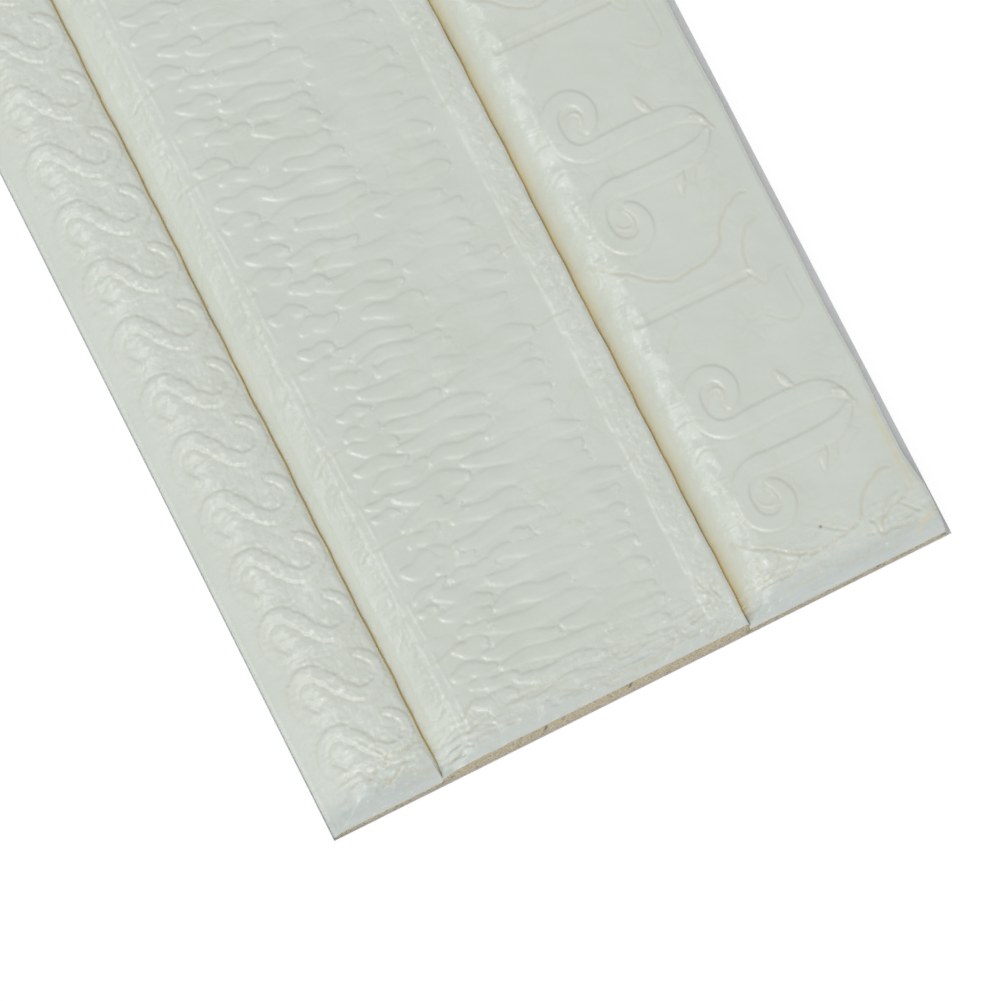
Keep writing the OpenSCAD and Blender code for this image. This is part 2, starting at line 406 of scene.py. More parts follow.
# The lobes next to the shown end: d and y of the upper tip, d and y of the foot, half-width
END_LOBES = [
    (3.1, -4.8, 3.5, -12.1, 0.87), (5.1, -4.3, 6.3, -13.9, 0.87), (7.6, -3.0, 8.8, -14.8, 0.87),
    (10.0, -7.9, 10.9, -16.0, 0.87), (12.1, -2.5, 13.1, -14.9, 1.0), (14.5, -4.2, 15.4, -12.3, 0.95),
    (17.2, -1.2, 18.0, -11.8, 0.95), (19.2, -0.1, 20.3, -10.3, 0.92), (21.4, -5.7, 21.4, -7.3, 0.6),
    (19.7, -11.0, 20.0, -15.2, 0.79), (18.4, -12.6, 18.7, -18.0, 0.87), (16.8, -13.1, 16.7, -18.5, 0.79),
    (15.2, -13.9, 15.4, -15.9, 0.71), (13.9, -14.8, 14.1, -17.7, 0.58), (12.2, -15.9, 12.5, -18.8, 0.87),
    (9.2, -16.2, 10.3, -20.3, 0.87), (7.0, -14.4, 8.1, -19.0, 0.79), (5.4, -15.4, 5.9, -19.8, 0.79),
    (3.4, -12.9, 3.2, -18.3, 0.79), (15.4, 4.6, 15.3, -2.7, 1.0), (10.3, 4.2, 10.2, -6.4, 0.95),
    (7.9, 4.6, 8.2, -1.4, 0.79), (12.5, 4.7, 12.8, -1.4, 0.87), (17.4, 4.6, 17.3, 0.4, 0.79),
    (5.6, 4.0, 6.0, -2.5, 0.87), (3.5, 4.0, 3.5, -4.2, 0.79), (19.1, 5.1, 19.1, 1.7, 0.74),
    (21.4, 5.6, 21.2, -0.7, 0.87), (21.0, -1.4, 21.0, -4.1, 0.66), (21.9, -12.6, 21.7, -16.5, 0.74),
    (20.4, -16.7, 19.5, -20.6, 0.53), (18.0, -19.0, 18.0, -21.2, 0.42), (42.2, 5.1, 42.2, -1.7, 0.95),
    (42.0, -2.5, 43.0, -15.2, 1.0), (44.5, -4.0, 44.4, -12.3, 0.87), (40.1, 4.1, 40.0, -6.1, 0.79),
    (39.6, -7.8, 40.4, -16.5, 0.87), (37.8, 4.4, 37.9, -1.7, 0.79), (37.3, -3.4, 38.2, -14.9, 0.87),
    (35.1, -4.0, 35.9, -14.1, 0.87), (33.1, 3.1, 33.2, -4.4, 0.87), (32.9, -5.6, 33.2, -11.6, 0.79),
    (35.4, 3.9, 35.5, -2.9, 0.79), (30.2, 5.0, 31.0, -8.2, 0.95), (30.2, -9.1, 30.6, -17.0, 0.95),
    (28.1, -1.8, 28.4, -10.4, 0.95), (27.9, 4.2, 28.1, -0.4, 0.95), (25.7, -4.7, 25.8, -12.3, 0.87),
    (26.3, 4.3, 26.5, -3.8, 0.68), (23.3, -3.4, 23.1, -13.6, 0.87), (23.5, 6.8, 23.5, -2.0, 0.87),
    (33.1, -12.6, 33.1, -18.5, 0.87), (37.0, -14.7, 37.8, -19.0, 0.87), (39.0, -15.7, 39.4, -19.0, 0.74),
    (41.6, -15.7, 41.8, -18.9, 0.58), (34.7, -14.4, 35.6, -19.8, 0.74), (27.5, -11.3, 27.7, -17.7, 0.87),
    (28.9, -13.1, 28.9, -14.8, 0.63), (31.2, -17.7, 31.1, -20.9, 0.47), (29.7, -18.0, 29.7, -20.7, 0.47),
    (26.1, -14.9, 25.4, -18.0, 0.74), (23.1, -14.4, 22.9, -19.8, 1.05)]
END_LOBES_TO = 45.0


def more_lobes():
    """Lobes for the rest of the field: staggered rows, a little uneven, leaning to the shown end."""
    found = []
    count = int(LOBE_PERIOD / LOBE_PITCH)
    for row, (middle, size, half) in enumerate(LOBE_ROWS):
        for k in range(count):
            d = (k + 0.33 * row + rng.uniform(-0.12, 0.12)) * LOBE_PERIOD / count
            if d < END_LOBES_TO:
                continue
            centre = middle + 1.6 * np.sin(k * 2.4 + row) + rng.uniform(-1.0, 1.0)
            half_len = size / 2 * rng.uniform(0.7, 1.3)
            lean = LOBE_LEAN * rng.uniform(0.5, 1.4)
            found.append((d - lean * half_len, centre + half_len, d + lean * half_len, centre - half_len,
                          half * rng.uniform(0.8, 1.1)))
    return found


# Folds that cross the field's edges, in groups every so often
CROSS_FOLDS = [
    [(42.2, 10.3), (42.0, 5.6)], [(34.5, 10.4), (34.3, 9.0)], [(24.4, 9.7), (23.4, 8.0)],
    [(38.7, -19.8), (38.2, -22.5), (37.1, -24.1)], [(27.0, -17.7), (26.7, -22.7), (26.2, -24.0)],
    [(13.5, -17.7), (12.6, -21.8)], [(9.2, 10.5), (8.2, 9.1), (4.7, 10.1)], [(5.5, 8.0), (4.9, 4.6)],
    [(9.5, -21.3), (8.4, -22.8)]]
FOLDS_REPEAT = 46.0


def middle_relief():
    relief = Relief(LOBE_PERIOD, -26.0, 14.0)
    lobes = END_LOBES + more_lobes()
    top = relief.pillows(lobes)
    y = relief.across()
    faint = 1 - 0.65 * (smooth(-6.0, -2.0, y) - 0.7 * smooth(1.5, 3.5, y))
    field = between((FIELD_FROM - 0.3, FIELD_FROM + 0.5), (FIELD_TO - 0.5, FIELD_TO + 0.3), y)
    relief.h = LOBE_HEIGHT * top * faint * field
    # Painted shade along the lobes' feet, in the seams between the lobes.
    relief.shade_and_stain = 0.2 * np.exp(-(top / 0.25) ** 2) * faint * field * (top > 0.001)
    tips = relief.spots([(d - 0.5, y + 0.5) for d, y, _, _, _ in lobes], 0.65)
    relief.h += 0.022 * relief.noise(0.6, 0.9, 11) * tips * field
    # Where the film puckers; glints are painted there too.
    relief.slack = tips * field
    strands = np.exp(-(relief.streaks(2.3, 9.0, 17) / 0.22) ** 2)
    patches = smooth(-0.6, 0.6, relief.noise(9.0, 9.0, 18))
    relief.h += STRAND_HEIGHT * strands * patches * field
    rims = between((-24.2, -23.4), (-22.9, -22.4), y) + between((8.8, 9.4), (11.0, 12.0), y)
    relief.h += 0.016 * relief.noise(1.0, 0.8, 13) * rims
    shifts = np.arange(int(LOBE_PERIOD / FOLDS_REPEAT)) * FOLDS_REPEAT
    folds = [[(d + shift, y) for d, y in fold] for fold in CROSS_FOLDS for shift in shifts]
    relief.creased(folds, 0.05, 0.14, 0.5)
    return relief.settle()


# Wrinkles over everything

WRINKLE_PERIOD = 138.0


def wrinkles():
    relief = Relief(WRINKLE_PERIOD, -41.0, 40.0)
    relief.h += 0.03 * relief.noise(9, 7, 1) + 0.01 * relief.noise(2.6, 3.2, 2)
    patches = smooth(0.1, 1.0, relief.noise(16, 12, 3))
    for seed, wave_d, wave_y in ((4, 3.6, 4.4), (5, 6.5, 5.0)):
        line = np.exp(-(relief.noise(wave_d, wave_y, seed) / 0.2) ** 2) * patches
        relief.h -= 0.03 * line
        # Painted shade in the wrinkles' lines.
        relief.shade_and_stain = np.maximum(relief.shade_and_stain, 0.1 * line)
    y = relief.across()
    slope = 1 - smooth(-34.0, -31.5, y)
    relief.h += (0.005 * relief.noise(0.9, 1.4, 6) + 0.007 * relief.streaks(0.6, 2.4, 9)) * (0.35 + slope)
    return relief.settle()


# Folds beside the shown end: d and y
END_FOLDS = [
    [(7.7, 36.0), (6.9, 36.0), (6.3, 35.2), (5.7, 33.5), (4.8, 32.0), (4.4, 31.2)],
    [(5.7, 34.2), (4.8, 35.2), (3.5, 36.2)],
    [(2.6, 34.7), (2.8, 32.8), (2.9, 31.0), (4.6, 30.7), (5.2, 30.4)],
    [(5.1, 21.1), (4.2, 20.3), (3.4, 19.1), (3.2, 17.9)],
    [(6.2, 18.9), (5.0, 17.9), (4.2, 16.8), (4.5, 16.1), (7.3, 16.3)],
    [(11.5, 23.9), (9.2, 23.0), (7.7, 24.3), (5.5, 27.1)],
    [(6.9, -20.3), (5.1, -22.1)], [(4.3, -19.0), (3.4, -22.1)],
    [(5.2, -26.9), (5.0, -29.4), (5.1, -31.4), (3.8, -32.2)],
    [(3.8, -29.9), (2.4, -31.6), (2.1, -33.2)], [(5.0, -31.6), (9.1, -34.0)], [(4.3, -33.2), (3.1, -34.8)],
    [(7.4, 11.4), (6.2, 10.2), (5.0, 10.6), (4.1, 9.4)], [(6.9, 8.8), (5.6, 9.6), (3.9, 8.2), (3.3, 6.4)]]

SHORT_FOLDS = 70


def end_wrinkles():
    """Folds along the pressed ends, where the film was pushed together."""
    relief = Relief(WRINKLE_PERIOD, -41.0, 40.0)
    relief.creased(END_FOLDS, 0.07, 0.16, 0.7)
    short = []
    for _ in range(SHORT_FOLDS):
        d, y = rng.uniform(0.8, 4.6), rng.uniform(-38, 37)
        long = rng.uniform(1.2, 4.5)
        middle, end = d + rng.uniform(-0.4, 0.4), d + rng.uniform(-0.7, 0.7)
        short.append([(d, y), (middle, y + long / 2), (end, y + long)])
    relief.creased(short, 0.045, 0.15, 0.3)
    relief.h += 0.016 * relief.noise(1.5, 2.2, 7) + 0.011 * relief.streaks(1.0, 4.0, 10)
    return relief.settle()


GLUE_LINES = [[(17.7, 36.75, 0.12), (13.0, 36.7, 0.2), (7.5, 36.65, 0.1)],
              [(2.9, 37.6, 0.25), (2.0, 36.2, 0.25), (1.1, 35.4, 0.15)]]
STAINED_TO = 60.0


def stains():
    """Glue that shows at the broad edge of the shown end."""
    relief = Relief(STAINED_TO, -41.0, 40.0)
    glue = relief.outline([spline(line) for line in GLUE_LINES])
    relief.shade_and_stain = np.exp(-np.clip(glue, 0, 2) / 0.25) * (0.75 + 0.2 * relief.noise(1.8, 1.0, 15)).clip(0, 1)
    return relief


MAPS = [narrow_relief(), broad_relief(), middle_relief(), wrinkles()]
END_MAP = end_wrinkles()
STAIN_MAP = stains()


# The skin

def wobble(d, seed, *waves):
    """A smooth line of size about 1 along the strip."""
    phases = np.random.default_rng(seed).uniform(0, TAU, len(waves))
    return sum(np.sin(TAU * d / w + p) for w, p in zip(waves, phases)) / len(waves) ** 0.5


def press_cap(d, end_h):
    """Height that the press leaves at distance d from an end."""
    drop = CROWN_H - end_h
    r = (PRESS_RUN ** 2 + drop ** 2) / (2 * drop)
    inside, past = np.clip(d, 0, PRESS_RUN), np.clip(d - PRESS_RUN, 0, 50)
    return CROWN_H - r + np.sqrt(r * r - (PRESS_RUN - inside) ** 2) + PRESS_CLEAR + PRESS_RISE * past


def soft_min(a, b, k=0.35):
    return (a + b - np.sqrt((a - b) ** 2 + k * k)) / 2


# The raised lines that frame the middle field: y, height, width and seed of the wobble of each
BEADS = ((-21.7, 0.09, 0.16, 21), (-23.0, 0.06, 0.16, 24), (8.5, 0.11, 0.2, 22), (9.0, 0.06, 0.18, 25),
         (9.9, 0.05, 0.2, 23))


def beads(d, y):
    """Height of the raised lines, which are a little wavy and broken."""
    h = 0
    for at, size, half, seed in BEADS:
        line = at + 0.1 * wobble(d, seed, 23.0, 11.0, 6.1)
        there = smooth(-0.9, 0.1, wobble(d, seed + 5, 9.7, 5.9, 3.1))
        h = h + size * np.exp(-((y - line) / np.where(y < line, 0.8, 2.2) / half) ** 2) * there
    return h


def mapped(d, y, kind):
    """What the relief maps hold at d and y: heights (fine or coarse) or the painted shade of creases."""
    away = np.minimum(d, LENGTH - d)
    total = sum(m.sample(getattr(m, kind), d, y) for m in MAPS) * smooth(*FADE, away)
    ends = (1 - smooth(5.0, 11.0, away)) * (1 + 1.2 * (1 - smooth(1.0, 4.0, away)))
    return total + ends * END_MAP.sample(getattr(END_MAP, kind), np.clip(away, 0, 20), y)


def on_top(nz, z):
    """1 on the embossed faces, 0 down in the grooves and on the steep sides."""
    return smooth(0.15, 0.65, nz) * smooth(0.9, 3.2, z)


def surface(d, s, kind="h"):
    """Places of the skin at distance d and arc place s."""
    y, z = np.interp(s, ARC, ARC_Y), np.interp(s, ARC, ARC_Z)
    ny, nz = np.interp(s, ARC, ARC_NY), np.interp(s, ARC, ARC_NZ)
    away = np.minimum(d, LENGTH - d)
    relief = (mapped(d, y, kind) + beads(d, y) * smooth(*FADE, away)) * on_top(nz, z)
    end_h = np.where((y > GROOVE_Y[0]) & (y < GROOVE_Y[1]), MIDDLE_END_H, BORDER_END_H)
    z = soft_min(z, press_cap(away, end_h)) + nz * relief
    y = y + ny * relief
    for k, groove in enumerate(GROOVE_Y):
        y = y + GROOVE_WANDER * wobble(d, 31 + k, 31.0, 13.0, 5.3) * np.exp(-((y - groove) / 1.4) ** 2)
    inwards = EDGE_IN * (1 + wobble(d, 35, 38.0, 17.0)) - EDGE_OUT * (1 - smooth(5.0, 12.0, d))
    y = y - inwards * smooth(36.0, 38.5, y)
    z = np.maximum(z, SHEET_T)
    x_in = CUT_FOOT + CUT_LEAN * (z - SHEET_T) + np.where(d < LENGTH / 2, skew(y), 0)
    x_in = x_in * np.clip(1 - away / CUT_BLEND, 0, 1) ** 2
    real_d = np.where(d < LENGTH / 2, d + x_in, d - x_in)
    return np.stack([LENGTH / 2 - real_d, y, z], axis=-1)


def marks(d, s, places):
    """The values that the skin's colours follow, among them the painted light and shade."""
    y = np.interp(s, ARC, ARC_Y)
    top = on_top(np.interp(s, ARC, ARC_NZ), np.interp(s, ARC, ARC_Z))
    away = np.minimum(d, LENGTH - d)
    middle = between((-26.5, -25.0), (13.0, 14.5), y)
    z = places[..., 2]
    # Masks for the light and shade painted in and beside the grooves.
    near = [np.exp(-((y - g) / 2.6) ** 4) for g in GROOVE_Y]
    # The puckered spots, which also get painted glints.
    tips = sum(m.sample(m.slack, d, y) for m in MAPS[:3]) * (d < FINE_TO)
    back_walls = np.maximum(*[np.exp(-((y - g) / 1.3) ** 4) * (y < g) for g in GROOVE_Y])
    inner = smooth(0.4, 2.4, away)
    groove_side = np.maximum(*[np.exp(-((y - g) / 0.4) ** 2) for g in GROOVE_Y])
    off_end = smooth(1.5, 4.0, away)
    shoulders = between((14.0, 15.0), (16.5, 19.0), y)
    edges = np.maximum(1 - smooth(-24.0, -20.0, y), between((8.0, 9.5), (12.5, 13.5), y))
    return {
        # Painted shade in the film's creases and folds.
        "crease": mapped(d, y, "shade_and_stain") * top,
        # Painted light on the groove walls and on the shoulders beside the grooves, where the grooves' shade
        # falls.
        "wall": np.maximum((near[0] * (1 - smooth(2.8, 4.7, z))
                            + 0.3 * near[1] * (1 - smooth(5.2, 5.9, z))) * inner,
                           0.8 * back_walls * (1 - smooth(5.0, 5.8, z)) * off_end),
        # Painted warm bounce light and shade deep in the grooves and on the shoulders over them.
        "groove": (0.8 * np.maximum(*near) * (1 - smooth(2.45, 3.05, z))
                   + (0.04 * near[0] + 0.4 * near[1]) * (1 - smooth(2.4, 4.4, z))
                   + 0.42 * back_walls * (1 - smooth(4.8, 5.85, z)) * off_end) * inner,
        # The pressed ends' greyer, bluish film, together with painted shade on the end slope.
        "pressed": (1 - smooth(1.2, 4.5, away)) * (1 - 0.45 * middle) * (1 - 0.8 * groove_side),
        "slack": np.clip(0.2 + 0.6 * np.maximum(edges, shoulders) + 1 - smooth(4.0, 9.0, away)
                         + tips, 0, 1),
        # Painted glints: pale flecks at the lobes' tips, the motifs' glint spots, the rims, shoulders and
        # ends, partly the film's own paler stretched spots.
        "painted_glint": np.clip(0.7 * tips + 0.4 * np.maximum(shoulders, edges * (y > -23.6))
                         + 0.3 * between((-36.5, -35.0), (-30.0, -27.0), y)
                         + 0.2 * (1 - smooth(5.0, 9.0, away)) * off_end, 0, 1),
        "run": smooth(FINE_TO - 0.2, FINE_TO + 0.2, d) * smooth(4.0, 9.0, LENGTH - d),
        "stain": STAIN_MAP.sample(STAIN_MAP.shade_and_stain, np.clip(d, 0, STAINED_TO - 1), y) * (d < 50),
        "speck": specks(d, y, SKIN_SPECKS),
    }


def specks(d, y, places, size=0.17):
    return sum(np.exp(-((d - a) ** 2 + (y - b) ** 2) / size ** 2) for a, b in places)


def skew(y):
    return END_SKEW * (y + HALF_WIDTH) / (2 * HALF_WIDTH)


def add_values(mesh, name, values):
    layer = mesh.attributes.new(name, "FLOAT", "POINT")
    layer.data.foreach_set("value", np.ascontiguousarray(values, dtype=np.float32))


def build_mesh(name, verts, faces, normals=None, values=()):
    mesh = bpy.data.meshes.new(name)
    mesh.vertices.add(len(verts))
    mesh.vertices.foreach_set("co", np.ascontiguousarray(verts * MM, dtype=np.float32).ravel())
    mesh.loops.add(faces.size)
    mesh.loops.foreach_set("vertex_index", np.ascontiguousarray(faces, dtype=np.int32).ravel())
    mesh.polygons.add(len(faces))
    mesh.polygons.foreach_set("loop_start", np.arange(0, faces.size, 4, dtype=np.int32))
    mesh.update(calc_edges=True)
    mesh.validate()
    mesh.polygons.foreach_set("use_smooth", np.ones(len(faces), dtype=bool))
    for key, value in values:
        add_values(mesh, key, value)
    if normals is not None:
        mesh.normals_split_custom_set_from_vertices(normals)
    piece = bpy.data.objects.new(name, mesh)
    bpy.context.scene.collection.objects.link(piece)
    return piece


def grid_faces(rows, columns):
    """Quads over a rows by columns grid of places."""
    a = (np.arange(rows - 1)[:, None] * columns + np.arange(columns - 1)[None, :]).ravel()
    return np.stack([a, a + 1, a + columns + 1, a + columns], axis=1)


def skin_normals(d, s, step, kind):
    along = surface(d + step, s, kind) - surface(d - step, s, kind)
    across = surface(d, s + step, kind) - surface(d, s - step, kind)
    n = np.cross(across, along)
    return n / np.maximum(np.linalg.norm(n, axis=-1, keepdims=True), 1e-9)


def skin_tile(name, rows, columns, snap_rows=()):
    """One stretch of the skin with its underside, on the given rows (d) and columns (s)."""
    d, s = np.meshgrid(rows, columns, indexing="ij")
    kind, step = ("coarse", LONG_STEP) if len(columns) < len(COLUMNS) else ("h", FINE_STEP)
    places = surface(d, s, kind)
    normals = skin_normals(d, s, step, kind)
    for r in snap_rows:
        rest = surface(d[r, ::COLUMN_STEP], s[r, ::COLUMN_STEP], "coarse")
        at = np.arange(len(columns)) / COLUMN_STEP
        for axis in range(3):
            places[r, :, axis] = np.interp(at, np.arange(len(rest)), rest[:, axis])
    values = marks(d, s, places)
    verts = places.reshape(-1, 3)
    faces = grid_faces(len(rows), len(columns))
    under = np.concatenate([places[:, 0], places[:, -1]])
    n, m = len(verts), len(rows)
    k = np.arange(m - 1)
    below = np.stack([n + k, n + k + 1, n + m + k + 1, n + m + k], axis=1)
    verts = np.concatenate([verts, under])
    faces = np.concatenate([faces, below])
    normals = np.concatenate([normals.reshape(-1, 3), np.tile([0.0, 0.0, -1.0], (2 * m, 1))])
    pad = np.zeros(2 * m)
    values = [(key, np.concatenate([value.ravel(), pad])) for key, value in values.items()]
    return build_mesh(name, verts, faces, normals, values)


def cut_face(name, shown, columns, levels=16):
    """The cut end of the foam, between its foot and the skin's edge."""
    d = np.full(len(columns), 0.0 if shown else LENGTH)
    edge = surface(d, columns, "h" if shown else "coarse")
    t = np.linspace(0, 1, levels)[:, None]
    z = SHEET_T + (edge[None, :, 2] - SHEET_T) * t
    y = np.repeat(edge[None, :, 1], levels, axis=0)
    inward = CUT_FOOT + CUT_LEAN * (z - SHEET_T) + (skew(y) if shown else 0)
    grain = CUT_GRAIN * np.random.default_rng(9).standard_normal(z.shape) * (t * (1 - t) * 4) ** 0.5
    x = (LENGTH / 2 - inward - grain) * (1 if shown else -1)
    x[-1] = edge[:, 0]
    faces = grid_faces(levels, len(columns))
    if not shown:
        faces = faces[:, ::-1]
    dirt = specks(0, y.ravel(), CUT_SPECKS) * (np.abs(z.ravel() - CUT_SPECK_Z) < CUT_SPECK_HIGH)
    places = np.stack([x, y, z], axis=-1).reshape(-1, 3)
    return build_mesh(name, places, faces, None, [("speck", dirt)])


def backing_sheet(name, rows=160, columns=9):
    """The peel-off sheet: thin, cut a little askew at the shown end."""
    y = np.linspace(-HALF_WIDTH, HALF_WIDTH, columns)
    x_from, x_to = np.full(columns, -LENGTH / 2), LENGTH / 2 - skew(y)
    t = np.linspace(0, 1, rows)[:, None]
    x = x_from * (1 - t) + x_to * t
    top = np.stack([x, np.tile(y, (rows, 1)), np.full_like(x, SHEET_T - SHEET_UNDER)], axis=-1)
    low = top.copy()
    low[..., 2] = 0
    verts = np.concatenate([top.reshape(-1, 3), low.reshape(-1, 3)])
    up = grid_faces(rows, columns)
    n = rows * columns
    ring = np.concatenate([np.arange(columns), np.arange(2, rows + 1) * columns - 1,
                           n - 2 - np.arange(columns - 1), np.arange(rows - 2, -1, -1) * columns])
    side = np.stack([ring[:-1], ring[:-1] + n, ring[1:] + n, ring[1:]], axis=1)
    return build_mesh(name, verts, np.concatenate([up[:, ::-1], up + n, side]))


# Materials

def material(name):
    m = bpy.data.materials.new(name)
    m.use_nodes = True
    m.node_tree.nodes.clear()
    return m, m.node_tree


def node(tree, kind, links=None, **settings):
    made = tree.nodes.new(kind)
    for key, value in settings.items():
        setattr(made, key, value)
    for key, value in (links or {}).items():
        if isinstance(value, bpy.types.NodeSocket):
            tree.links.new(value, made.inputs[key])
        else:
            made.inputs[key].default_value = value
    return made


def math(tree, kind, *values):
    made = node(tree, "ShaderNodeMath", operation=kind)
    for k, value in enumerate(values):
        if isinstance(value, bpy.types.NodeSocket):
            tree.links.new(value, made.inputs[k])
        else:
            made.inputs[k].default_value = value
    return made.outputs[0]


def mixed(tree, share, a, b):
    """Colour a turning into b by share."""
    made = node(tree, "ShaderNodeMix", data_type="RGBA")
    tree.links.new(share, made.inputs["Factor"])
    for key, value in (("A", a), ("B", b)):
        socket = [s for s in made.inputs if s.name == key and s.type == "RGBA"][0]
        if isinstance(value, bpy.types.NodeSocket):
            tree.links.new(value, socket)
        else:
            socket.default_value = (*value, 1)
    return [s for s in made.outputs if s.type == "RGBA"][0]


def noise(tree, where, scale, detail=3, rough=0.55):
    made = node(tree, "ShaderNodeTexNoise", {"Vector": where, "Scale": scale, "Detail": detail,
                                             "Roughness": rough})
    return made.outputs["Fac"]


def value_of(tree, name):
    return node(tree, "ShaderNodeAttribute", attribute_name=name).outputs["Fac"]


SKIN = (0.615, 0.655, 0.60)
SKIN_SHADE = (0.555, 0.585, 0.525)
# Painted shade for the film's creases.
CREASE_PAINTED_SHADE = (0.50, 0.47, 0.33)
# Painted light for the groove walls, lighter than the skin.
WALL_PAINTED_LIGHT = (0.81, 0.86, 0.83)
# Painted warm bounce light and shade for the grooves' floors.
GROOVE_PAINTED_BOUNCE = (0.86, 0.73, 0.42)
# Painted glints, partly the paler stretched film.
FLECK_PAINTED_GLINT = (0.80, 0.84, 0.80)
# The pressed film's grey, darkened further as painted shade on the end slope.
PRESSED_AND_SHADED = (0.44, 0.485, 0.475)
STAIN = (0.60, 0.57, 0.40)
SPECK = (0.10, 0.09, 0.08)
# The cut foam's tones; the darkest is painted shade in its open cells.
CORE_DARK, CORE, CORE_PIT_SHADE = (0.42, 0.36, 0.24), (0.62, 0.56, 0.42), (0.26, 0.19, 0.11)
# The sheet's greys, painted lighter than the sheet is, against the foam's shadow over it.
PAPER_PAINTED_LIGHT, PAPER_FIBRE_PAINTED_LIGHT = (0.80, 0.81, 0.83), (0.90, 0.91, 0.93)
SKIN_ROUGH, CORE_ROUGH, PAPER_ROUGH = 0.24, 0.85, 0.5

# The bump along the run, in the motifs' own places. A stroke has the u of its axis, its half-width,
# the y of its middle and its reach to both sides of it.
RUN_HEIGHT = 0.14
SCROLL_SWING, SCROLL_TURN = 2.3, 0.5
SCROLL_HALF, SCROLL_Y, SCROLL_REACH = 0.6, -32.8, 4.9
RING_U, RING_Y, RING_RADIUS, RING_HALF = 6.4, 20.5, 2.5, 0.85
ARM_STROKE = (2.6, 1.0, 27.2, 6.5)
STEM_STROKE = (STEM_U, 0.4, 23.8, 7.0)
CELL_LONG, CELL_STEEP = 8.5, 4.0
FIELD_REACH = 14.2


def share(tree, name, most):
    return math(tree, "MULTIPLY", value_of(tree, name), most)


def under(tree, value, edge, soft=0.35):
    """1 where the value is less than edge, falling to 0 over soft."""
    made = node(tree, "ShaderNodeMath", {0: value, 1: -1 / soft, 2: edge / soft + 1},
                operation="MULTIPLY_ADD", use_clamp=True)
    return made.outputs[0]


def apart(tree, value, middle):
    return math(tree, "ABSOLUTE", math(tree, "SUBTRACT", value, middle))


def from_axis(tree, d, axis, period):
    """Distance from the nearest motif's axis, as the motifs' own points have it."""
    return math(tree, "WRAP", math(tree, "SUBTRACT", axis, d), period / 2, -period / 2)


def stroke_bump(tree, u, y, axis, half, middle, reach):
    return math(tree, "MULTIPLY", under(tree, apart(tree, u, axis), half),
                under(tree, apart(tree, y, middle), reach))


def scroll_bump(tree, d, y):
    """The narrow band's S scrolls: a stroke that swings from side to side."""
    swing = math(tree, "SINE", math(tree, "MULTIPLY_ADD", y, SCROLL_TURN, -SCROLL_TURN * SCROLL_Y))
    across = math(tree, "SUBTRACT", from_axis(tree, d, NARROW_AT, NARROW_PITCH),
                  math(tree, "MULTIPLY", swing, SCROLL_SWING))
    return stroke_bump(tree, across, y, 0.0, SCROLL_HALF, SCROLL_Y, SCROLL_REACH)


def curl_bump(tree, d, y):
    """The broad band's paired curls and the stem sunk between two pairs."""
    u = math(tree, "ABSOLUTE", from_axis(tree, d, BROAD_AT, BROAD_PERIOD))
    off_u, off_y = math(tree, "SUBTRACT", u, RING_U), math(tree, "SUBTRACT", y, RING_Y)
    radius = math(tree, "SQRT", math(tree, "ADD", math(tree, "MULTIPLY", off_u, off_u),
                                     math(tree, "MULTIPLY", off_y, off_y)))
    ring = under(tree, apart(tree, radius, RING_RADIUS), RING_HALF)
    arm = stroke_bump(tree, u, y, *ARM_STROKE)
    stem = stroke_bump(tree, u, y, *STEM_STROKE)
    return math(tree, "SUBTRACT", math(tree, "MAXIMUM", ring, arm), stem)


def lobe_bump(tree, where, y):
    """The middle field's lobes, as long cells side by side."""
    scale = (1 / (LOBE_PITCH * MM), 1 / (CELL_LONG * MM), 1.0)
    cells = node(tree, "ShaderNodeMapping", {"Vector": where, "Scale": scale})
    edge = node(tree, "ShaderNodeTexVoronoi", {"Vector": cells.outputs[0], "Scale": 1.0},
                feature="DISTANCE_TO_EDGE", voronoi_dimensions="2D").outputs["Distance"]
    top = math(tree, "MINIMUM", math(tree, "MULTIPLY", edge, CELL_STEEP), 1.0)
    return math(tree, "MULTIPLY", top, under(tree, apart(tree, y, (FIELD_FROM + FIELD_TO) / 2), FIELD_REACH))


def run_height(tree, where):
    """Height in millimetres of the ornament along the run, where the mesh is too coarse for it."""
    parts = node(tree, "ShaderNodeSeparateXYZ", {"Vector": where})
    d = math(tree, "MULTIPLY_ADD", parts.outputs["X"], -1 / MM, LENGTH / 2)
    y = math(tree, "MULTIPLY", parts.outputs["Y"], 1 / MM)
    both = math(tree, "ADD", scroll_bump(tree, d, y), curl_bump(tree, d, y))
    both = math(tree, "ADD", both, lobe_bump(tree, where, y))
    return math(tree, "MULTIPLY", both, share(tree, "run", RUN_HEIGHT))


def bumped(tree, height, strength, distance, links=None):
    """The normal that a height gives."""
    links = {"Height": height, "Strength": strength, "Distance": distance, **(links or {})}
    return node(tree, "ShaderNodeBump", links).outputs["Normal"]


def surfaced(tree, base, rough, normal):
    """Ends a material in one plain surface."""
    shader = node(tree, "ShaderNodeBsdfPrincipled", {"Base Color": base, "Roughness": rough,
                                                     "Normal": normal})
    node(tree, "ShaderNodeOutputMaterial", {"Surface": shader.outputs[0]})


